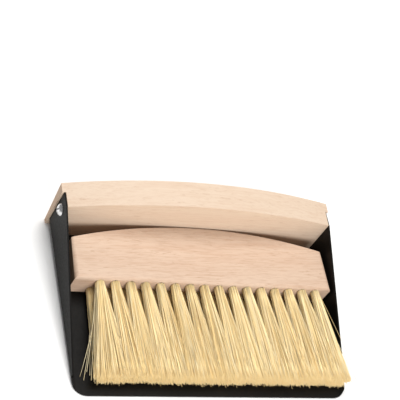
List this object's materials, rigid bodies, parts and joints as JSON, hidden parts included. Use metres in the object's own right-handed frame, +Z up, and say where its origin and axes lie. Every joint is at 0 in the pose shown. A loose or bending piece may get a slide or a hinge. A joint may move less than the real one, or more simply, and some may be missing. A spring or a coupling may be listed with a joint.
{
  "type": "dust pan and brush set",
  "caption": "Folded black steel dust pan with an arched beech handle bar screwed between its side walls, and a beech hand brush of straw-coloured fibre tufts lying in it.",
  "frame": {"origin": "middle of the set's footprint, on the table it stands on", "axes": "+X across the pan to its right side, seen from the front lip; +Y from the front lip back to the handle; +Z up"},
  "size_m": [0.1848, 0.1238, 0.046],
  "materials": {
    "black_steel": "satin black powder coat, fine texture",
    "beech": "planed and sanded beech, lightly oiled, matt",
    "zinc_steel": "bright zinc plated, slightly dulled",
    "plant_fibre": "stiff pale plant fibre, trimmed ends, satin",
    "wire_steel": "flat steel wire"
  },
  "bodies": {
    "pan": {"pan_tray": "black_steel", "pan_handle": "beech", "handle_screws": "zinc_steel"},
    "brush": {"brush_block": "beech", "tuft_staples": "wire_steel", "upper_tuft_01": "plant_fibre", "upper_tuft_02": "plant_fibre", "upper_tuft_03": "plant_fibre", "upper_tuft_04": "plant_fibre", "upper_tuft_05": "plant_fibre", "upper_tuft_06": "plant_fibre", "upper_tuft_07": "plant_fibre", "upper_tuft_08": "plant_fibre", "upper_tuft_09": "plant_fibre", "upper_tuft_10": "plant_fibre", "upper_tuft_11": "plant_fibre", "upper_tuft_12": "plant_fibre", "upper_tuft_13": "plant_fibre", "upper_tuft_14": "plant_fibre", "upper_tuft_15": "plant_fibre", "upper_tuft_16": "plant_fibre", "lower_tuft_01": "plant_fibre", "lower_tuft_02": "plant_fibre", "lower_tuft_03": "plant_fibre", "lower_tuft_04": "plant_fibre", "lower_tuft_05": "plant_fibre", "lower_tuft_06": "plant_fibre", "lower_tuft_07": "plant_fibre", "lower_tuft_08": "plant_fibre", "lower_tuft_09": "plant_fibre", "lower_tuft_10": "plant_fibre", "lower_tuft_11": "plant_fibre", "lower_tuft_12": "plant_fibre", "lower_tuft_13": "plant_fibre", "lower_tuft_14": "plant_fibre", "lower_tuft_15": "plant_fibre", "lower_tuft_16": "plant_fibre"}
  },
  "joints": [
    {"name": "brush_lift", "type": "slide", "parent": "pan", "child": "brush", "axis": [0, -0.0305, 0.9995], "range_m": [0, 0.12]}
  ]
}
